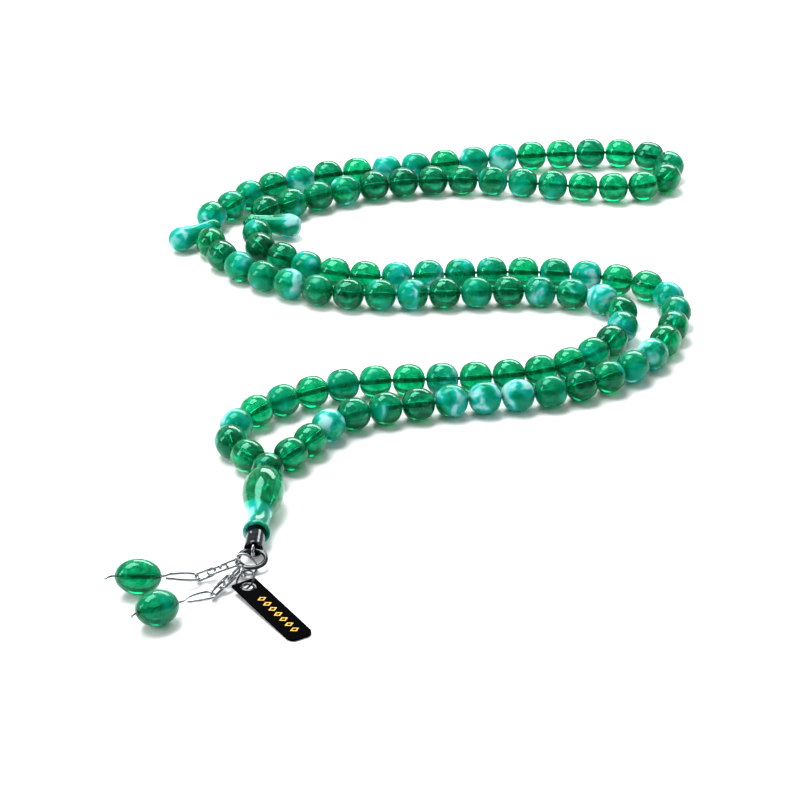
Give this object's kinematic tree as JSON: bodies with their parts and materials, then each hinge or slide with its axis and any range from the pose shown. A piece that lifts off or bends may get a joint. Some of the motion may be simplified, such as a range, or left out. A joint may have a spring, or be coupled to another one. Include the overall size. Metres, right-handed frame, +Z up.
{
  "type": "misbaha prayer beads",
  "caption": "Closed string of round marbled green prayer beads with pear separators, a vase-shaped imame, a chained two-bead tassel and a small hang tag, laid in an S.",
  "frame": {"origin": "on the surface that the string lies on, under the middle of the laid-out string's outline", "axes": "+X to the right along the strands, +Y from the tassel towards the far loop, +Z up from the surface"},
  "size_m": [0.138, 0.2412, 0.0094],
  "materials": {
    "marbled_beads": "translucent deep green resin with milky turquoise marbling, polished",
    "clear_green_resin": "clear deep green resin, polished",
    "milky_turquoise_resin": "milky turquoise and green resin, polished",
    "imame_resin": "translucent green resin with a milky turquoise neck, polished",
    "green_cord": "twisted green nylon cord",
    "bright_metal": "bright plated steel",
    "black_wire": "black enamelled wire",
    "black_tag": "black coated card, satin, with a gold printed ornament"
  },
  "bodies": {
    "string_near": {"cord_left_near": "green_cord", "cord_right_near": "green_cord", "left_beads_01_to_04": "marbled_beads", "left_beads_05_to_08": "marbled_beads", "left_beads_09_to_12": "marbled_beads", "left_beads_13_to_16": "marbled_beads", "right_beads_01_to_04": "marbled_beads", "right_beads_05_to_08": "marbled_beads", "right_beads_09_to_12": "marbled_beads", "right_beads_13_to_16": "marbled_beads"},
    "left_bead_17": {"left_bead_17": "marbled_beads"},
    "gathering_bead": {"gathering_bead": "clear_green_resin"},
    "string_middle": {"cord_left_middle": "green_cord", "cord_right_middle": "green_cord", "left_beads_18_to_21": "marbled_beads", "left_beads_22_to_25": "marbled_beads", "left_beads_26_to_29": "marbled_beads", "left_beads_30_to_33": "marbled_beads", "right_beads_18_to_21": "marbled_beads", "right_beads_22_to_25": "marbled_beads", "right_beads_26_to_29": "marbled_beads", "right_beads_30_to_33": "marbled_beads"},
    "right_bead_17": {"right_bead_17": "marbled_beads"},
    "separator_left": {"separator_left": "milky_turquoise_resin"},
    "separator_right": {"separator_right": "milky_turquoise_resin"},
    "string_far": {"cord_far": "green_cord", "far_beads_01_to_04": "marbled_beads", "far_beads_05_to_08": "marbled_beads", "far_beads_09_to_12": "marbled_beads", "far_beads_13_to_16": "marbled_beads", "far_beads_18_to_21": "marbled_beads", "far_beads_22_to_25": "marbled_beads", "far_beads_26_to_29": "marbled_beads", "far_beads_30_to_33": "marbled_beads"},
    "far_bead_17": {"far_bead_17": "marbled_beads"},
    "imame": {"imame": "imame_resin", "tail_cord": "green_cord", "cord_knot": "green_cord", "ferrule": "bright_metal", "ferrule_eye": "bright_metal"},
    "split_ring": {"split_ring": "bright_metal"},
    "jump_ring": {"jump_ring": "bright_metal"},
    "chain_1_link_1": {"chain_1_link_1": "bright_metal"},
    "chain_1_link_2": {"chain_1_link_2": "bright_metal"},
    "chain_1_link_3": {"chain_1_link_3": "bright_metal"},
    "eye_pin_1": {"eye_pin_1": "bright_metal"},
    "tassel_bead_1": {"tassel_bead_1": "clear_green_resin"},
    "chain_2_link_1": {"chain_2_link_1": "bright_metal"},
    "chain_2_link_2": {"chain_2_link_2": "bright_metal"},
    "chain_2_link_3": {"chain_2_link_3": "bright_metal"},
    "eye_pin_2": {"eye_pin_2": "bright_metal"},
    "tassel_bead_2": {"tassel_bead_2": "clear_green_resin"},
    "tag_link": {"tag_link": "bright_metal"},
    "tag_ring": {"tag_ring": "black_wire"},
    "tag": {"tag_plate": "black_tag", "tag_eyelet": "bright_metal"}
  },
  "joints": [
    {"name": "middle_fold", "type": "hinge", "parent": "string_near", "child": "string_middle", "pos_m": [0.05512, 0.02031, 0.00382], "axis": [0.9999, 0.0113, 0], "range_deg": [0, 16]},
    {"name": "far_fold", "type": "hinge", "parent": "string_middle", "child": "string_far", "pos_m": [-0.04939, 0.07533, 0.00382], "axis": [0.995, 0.0995, 0], "range_deg": [0, 25]},
    {"name": "left_bead_17_spin", "type": "hinge", "parent": "string_near", "child": "left_bead_17", "pos_m": [0.04794, 0.01626, 0.00382], "axis": [0.2106, 0.9776, 0], "continuous": true},
    {"name": "right_bead_17_spin", "type": "hinge", "parent": "string_middle", "child": "right_bead_17", "pos_m": [0.06142, 0.02436, 0.00382], "axis": [-0.0065, 1, 0], "continuous": true},
    {"name": "far_bead_17_spin", "type": "hinge", "parent": "string_far", "child": "far_bead_17", "pos_m": [0.06034, 0.11524, 0.00382], "axis": [0.8464, -0.5326, 0], "continuous": true},
    {"name": "gathering_bead_spin", "type": "hinge", "parent": "string_near", "child": "gathering_bead", "pos_m": [-0.0358, -0.0541, 0.0041], "axis": [-0.0425, -0.957, 0.2871], "continuous": true},
    {"name": "separator_left_swing", "type": "hinge", "parent": "string_middle", "child": "separator_left", "pos_m": [-0.054, 0.0716, 0.00382], "axis": [-0.4191, 0.908, 0], "range_deg": [0, 90]},
    {"name": "separator_right_swing", "type": "hinge", "parent": "string_middle", "child": "separator_right", "pos_m": [-0.044, 0.0746, 0.00382], "axis": [-0.09, -0.9959, 0], "range_deg": [0, 90]},
    {"name": "imame_lift", "type": "hinge", "parent": "string_near", "child": "imame", "pos_m": [-0.036, -0.0586, 0.00545], "axis": [-0.9977, 0.0674, 0], "range_deg": [0, 55]},
    {"name": "split_ring_lift", "type": "hinge", "parent": "imame", "child": "split_ring", "pos_m": [-0.0379, -0.08678, 0.0025], "axis": [-0.9977, 0.0674, 0], "range_deg": [0, 30]},
    {"name": "jump_ring_lift", "type": "hinge", "parent": "split_ring", "child": "jump_ring", "pos_m": [-0.03866, -0.09264, 0.00149], "axis": [0.983, -0.1825, -0.0198], "range_deg": [0, 20]},
    {"name": "chain_1_lift", "type": "hinge", "parent": "jump_ring", "child": "chain_1_link_1", "pos_m": [-0.04142, -0.09327, 0.00319], "axis": [-0.1451, 0.8849, 0.4426], "range_deg": [0, 30]},
    {"name": "chain_1_sway", "type": "hinge", "parent": "chain_1_link_1", "child": "chain_1_link_2", "pos_m": [-0.04405, -0.09428, 0.00258], "axis": [0, 0, 1], "range_deg": [-28, 10]},
    {"name": "chain_1_bend", "type": "hinge", "parent": "chain_1_link_2", "child": "chain_1_link_3", "pos_m": [-0.04667, -0.09529, 0.00196], "axis": [-0.3592, 0.9333, 0], "range_deg": [0, 30]},
    {"name": "eye_pin_1_sway", "type": "hinge", "parent": "chain_1_link_3", "child": "eye_pin_1", "pos_m": [-0.0493, -0.0963, 0.00135], "axis": [0, 0, 1], "range_deg": [-18, 12]},
    {"name": "tassel_bead_1_spin", "type": "hinge", "parent": "eye_pin_1", "child": "tassel_bead_1", "pos_m": [-0.0621, -0.1004, 0.00395], "axis": [0.935, 0.2995, -0.1899], "continuous": true},
    {"name": "chain_2_lift", "type": "hinge", "parent": "jump_ring", "child": "chain_2_link_1", "pos_m": [-0.04068, -0.09453, 0.00218], "axis": [-0.6399, 0.4488, 0.6238], "range_deg": [0, 18]},
    {"name": "chain_2_sway", "type": "hinge", "parent": "chain_2_link_1", "child": "chain_2_link_2", "pos_m": [-0.04242, -0.09742, 0.00191], "axis": [0, 0, 1], "range_deg": [-10, 12]},
    {"name": "chain_2_bend", "type": "hinge", "parent": "chain_2_link_2", "child": "chain_2_link_3", "pos_m": [-0.04416, -0.10031, 0.00163], "axis": [-0.8566, 0.516, 0], "range_deg": [0, 30]},
    {"name": "eye_pin_2_sway", "type": "hinge", "parent": "chain_2_link_3", "child": "eye_pin_2", "pos_m": [-0.0459, -0.1032, 0.00135], "axis": [0, 0, 1], "range_deg": [-6, 24]},
    {"name": "tassel_bead_2_spin", "type": "hinge", "parent": "eye_pin_2", "child": "tassel_bead_2", "pos_m": [-0.0573, -0.1132, 0.00395], "axis": [0.7409, 0.65, -0.169], "continuous": true},
    {"name": "tag_link_lift", "type": "hinge", "parent": "jump_ring", "child": "tag_link", "pos_m": [-0.03966, -0.09482, 0.00135], "axis": [-0.8226, -0.0323, 0.5677], "range_deg": [0, 12]},
    {"name": "tag_ring_sway", "type": "hinge", "parent": "tag_link", "child": "tag_ring", "pos_m": [-0.04, -0.0968, 0.0026], "axis": [0, 0, 1], "range_deg": [-8, 15]},
    {"name": "tag_turn", "type": "hinge", "parent": "tag_ring", "child": "tag", "pos_m": [-0.0385, -0.1011, 0.0016], "axis": [0.0327, -0.0497, 0.9982], "range_deg": [-25, 25]}
  ]
}
